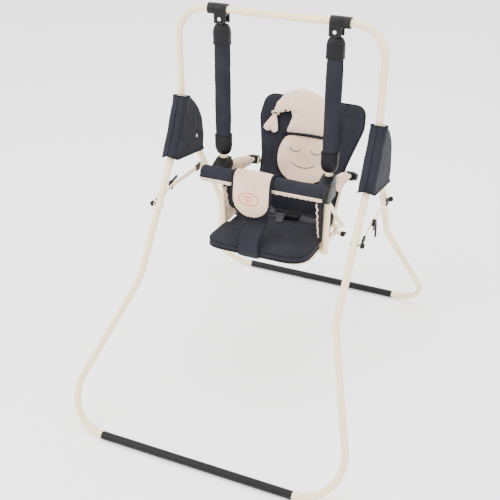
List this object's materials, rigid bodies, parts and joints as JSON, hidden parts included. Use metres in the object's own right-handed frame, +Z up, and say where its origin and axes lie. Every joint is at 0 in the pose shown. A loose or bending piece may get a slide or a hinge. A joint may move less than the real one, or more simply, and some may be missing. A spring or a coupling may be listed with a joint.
{
  "type": "baby swing",
  "caption": "Padded baby seat with a reclining backrest, a padded handrail and two hangers, swinging from the top bar of a folding bent-tube stand with splayed legs.",
  "frame": {"origin": "on the floor, midway between the outermost front and rear of the stand, on its plane of symmetry", "axes": "+Z up, -Y to the front where the child faces, +X to the right seen from the front"},
  "size_m": [0.9086, 1.183, 1.226],
  "materials": {
    "cream_tube": "gloss cream powder coat",
    "steel": "zinc plated",
    "zinc_link": "cream painted flat steel",
    "black_plastic": "moulded, fine grain",
    "dark_fabric": "quilted navy cotton",
    "cream_fabric": "plush cream",
    "black_webbing": "woven polypropylene",
    "hardboard": "bare board"
  },
  "bodies": {
    "stand": {"upper_frame": "cream_tube", "front_leg_frame": "cream_tube", "front_floor_sleeve": "black_plastic", "hub_plates": "steel", "stand_bolts": "steel", "hub_cover_left": "dark_fabric", "hub_cover_right": "dark_fabric", "bar_collars": "black_plastic"},
    "rear_stand": {"rear_leg_frame": "cream_tube", "rear_floor_sleeve": "black_plastic", "rear_brace_bolts": "steel"},
    "swing": {"hanger_bracket_left": "black_plastic", "hanger_bracket_right": "black_plastic", "hanger_bolts": "steel", "hanger_tube_left": "cream_tube", "hanger_tube_right": "cream_tube", "hanger_sleeve_left": "dark_fabric", "hanger_sleeve_right": "dark_fabric", "hanger_caps": "black_plastic", "corner_bracket_left": "black_plastic", "corner_bracket_right": "black_plastic", "handrail_tube": "cream_tube", "handrail_pad": "dark_fabric", "pommel_flap": "cream_fabric", "crotch_strap": "dark_fabric", "seat_frame": "cream_tube", "seat_board": "hardboard", "seat_cushion": "dark_fabric", "seat_struts": "cream_tube", "side_panels": "dark_fabric", "seat_knobs": "black_plastic", "waist_belt": "black_webbing", "belt_buckle": "black_plastic"},
    "backrest": {"backrest_frame": "cream_tube", "backrest_pad": "dark_fabric", "head_pad": "cream_fabric"},
    "brace_front_left": {"brace_front_link_left": "zinc_link", "brace_front_boot_left": "black_plastic"},
    "brace_rear_left": {"brace_rear_link_left": "zinc_link", "brace_rear_boot_left": "black_plastic"},
    "latch_left": {"latch_lever_left": "black_plastic"},
    "front_knob_left": {"brace_knob_front_left": "black_plastic"},
    "rear_knob_left": {"brace_knob_rear_left": "black_plastic"},
    "arm_left": {"arm_tube_left": "cream_tube", "arm_cover_left": "cream_fabric"},
    "clamp_left": {"recline_clamp_left": "black_plastic"},
    "clamp_knob_left": {"recline_knob_left": "black_plastic"},
    "hinge_knob_left": {"seat_rear_knob_left": "black_plastic"},
    "brace_front_right": {"brace_front_link_right": "zinc_link", "brace_front_boot_right": "black_plastic"},
    "brace_rear_right": {"brace_rear_link_right": "zinc_link", "brace_rear_boot_right": "black_plastic"},
    "latch_right": {"latch_lever_right": "black_plastic"},
    "front_knob_right": {"brace_knob_front_right": "black_plastic"},
    "rear_knob_right": {"brace_knob_rear_right": "black_plastic"},
    "arm_right": {"arm_tube_right": "cream_tube", "arm_cover_right": "cream_fabric"},
    "clamp_right": {"recline_clamp_right": "black_plastic"},
    "clamp_knob_right": {"recline_knob_right": "black_plastic"},
    "hinge_knob_right": {"seat_rear_knob_right": "black_plastic"}
  },
  "joints": [
    {"name": "stand_fold", "type": "hinge", "parent": "stand", "child": "rear_stand", "pos_m": [0, 0.0515, 0.86], "axis": [-1, 0, 0], "range_deg": [0, 50]},
    {"name": "swing_pivot", "type": "hinge", "parent": "stand", "child": "swing", "pos_m": [0, 0.0515, 1.209], "axis": [1, 0, 0], "range_deg": [-30, 30]},
    {"name": "backrest_recline", "type": "hinge", "parent": "swing", "child": "backrest", "pos_m": [0, 0.2015, 0.45288], "axis": [1, 0, 0], "range_deg": [-8, 8]},
    {"name": "brace_front_left", "type": "hinge", "parent": "stand", "child": "brace_front_left", "pos_m": [-0.3437, -0.13148, 0.614], "axis": [1, 0, 0], "range_deg": [-1, 111.17]},
    {"name": "brace_rear_left", "type": "hinge", "parent": "rear_stand", "child": "brace_rear_left", "pos_m": [-0.3407, 0.20456, 0.614], "axis": [1, 0, 0], "range_deg": [-1, 10.92]},
    {"name": "latch_left", "type": "hinge", "parent": "brace_front_left", "child": "latch_left", "pos_m": [-0.349, -0.0035, 0.628], "axis": [1, 0, 0], "range_deg": [0, 60]},
    {"name": "front_knob_left", "type": "hinge", "parent": "stand", "child": "front_knob_left", "pos_m": [-0.35, -0.13148, 0.614], "axis": [1, 0, 0], "continuous": true},
    {"name": "rear_knob_left", "type": "hinge", "parent": "rear_stand", "child": "rear_knob_left", "pos_m": [-0.346, 0.20456, 0.614], "axis": [1, 0, 0], "continuous": true},
    {"name": "arm_left", "type": "hinge", "parent": "swing", "child": "arm_left", "pos_m": [-0.178, 0.0815, 0.698], "axis": [1, 0, 0], "range_deg": [-2.37, 2.37]},
    {"name": "clamp_left", "type": "hinge", "parent": "backrest", "child": "clamp_left", "pos_m": [-0.178, 0.3015, 0.62495], "axis": [1, 0, 0], "range_deg": [-7.63, 7.63]},
    {"name": "clamp_knob_left", "type": "hinge", "parent": "clamp_left", "child": "clamp_knob_left", "pos_m": [-0.197, 0.3015, 0.62495], "axis": [1, 0, 0], "continuous": true},
    {"name": "hinge_knob_left", "type": "hinge", "parent": "swing", "child": "hinge_knob_left", "pos_m": [-0.195, 0.2015, 0.45288], "axis": [1, 0, 0], "continuous": true},
    {"name": "brace_front_right", "type": "hinge", "parent": "stand", "child": "brace_front_right", "pos_m": [0.3437, -0.13148, 0.614], "axis": [1, 0, 0], "range_deg": [-1, 111.17]},
    {"name": "brace_rear_right", "type": "hinge", "parent": "rear_stand", "child": "brace_rear_right", "pos_m": [0.3407, 0.20456, 0.614], "axis": [1, 0, 0], "range_deg": [-1, 10.92]},
    {"name": "latch_right", "type": "hinge", "parent": "brace_front_right", "child": "latch_right", "pos_m": [0.349, -0.0035, 0.628], "axis": [1, 0, 0], "range_deg": [0, 60]},
    {"name": "front_knob_right", "type": "hinge", "parent": "stand", "child": "front_knob_right", "pos_m": [0.35, -0.13148, 0.614], "axis": [1, 0, 0], "continuous": true},
    {"name": "rear_knob_right", "type": "hinge", "parent": "rear_stand", "child": "rear_knob_right", "pos_m": [0.346, 0.20456, 0.614], "axis": [1, 0, 0], "continuous": true},
    {"name": "arm_right", "type": "hinge", "parent": "swing", "child": "arm_right", "pos_m": [0.178, 0.0815, 0.698], "axis": [1, 0, 0], "range_deg": [-2.37, 2.37]},
    {"name": "clamp_right", "type": "hinge", "parent": "backrest", "child": "clamp_right", "pos_m": [0.178, 0.3015, 0.62495], "axis": [1, 0, 0], "range_deg": [-7.63, 7.63]},
    {"name": "clamp_knob_right", "type": "hinge", "parent": "clamp_right", "child": "clamp_knob_right", "pos_m": [0.197, 0.3015, 0.62495], "axis": [1, 0, 0], "continuous": true},
    {"name": "hinge_knob_right", "type": "hinge", "parent": "swing", "child": "hinge_knob_right", "pos_m": [0.195, 0.2015, 0.45288], "axis": [1, 0, 0], "continuous": true}
  ],
  "couplings": [
    {"joint": "brace_front_left", "follows": "stand_fold", "ratio": 2.2034},
    {"joint": "brace_rear_left", "follows": "stand_fold", "ratio": 0.1984},
    {"joint": "arm_left", "follows": "backrest_recline", "ratio": 0.1706},
    {"joint": "clamp_left", "follows": "backrest_recline", "ratio": -0.8294},
    {"joint": "brace_front_right", "follows": "stand_fold", "ratio": 2.2034},
    {"joint": "brace_rear_right", "follows": "stand_fold", "ratio": 0.1984},
    {"joint": "arm_right", "follows": "backrest_recline", "ratio": 0.1706},
    {"joint": "clamp_right", "follows": "backrest_recline", "ratio": -0.8294}
  ]
}
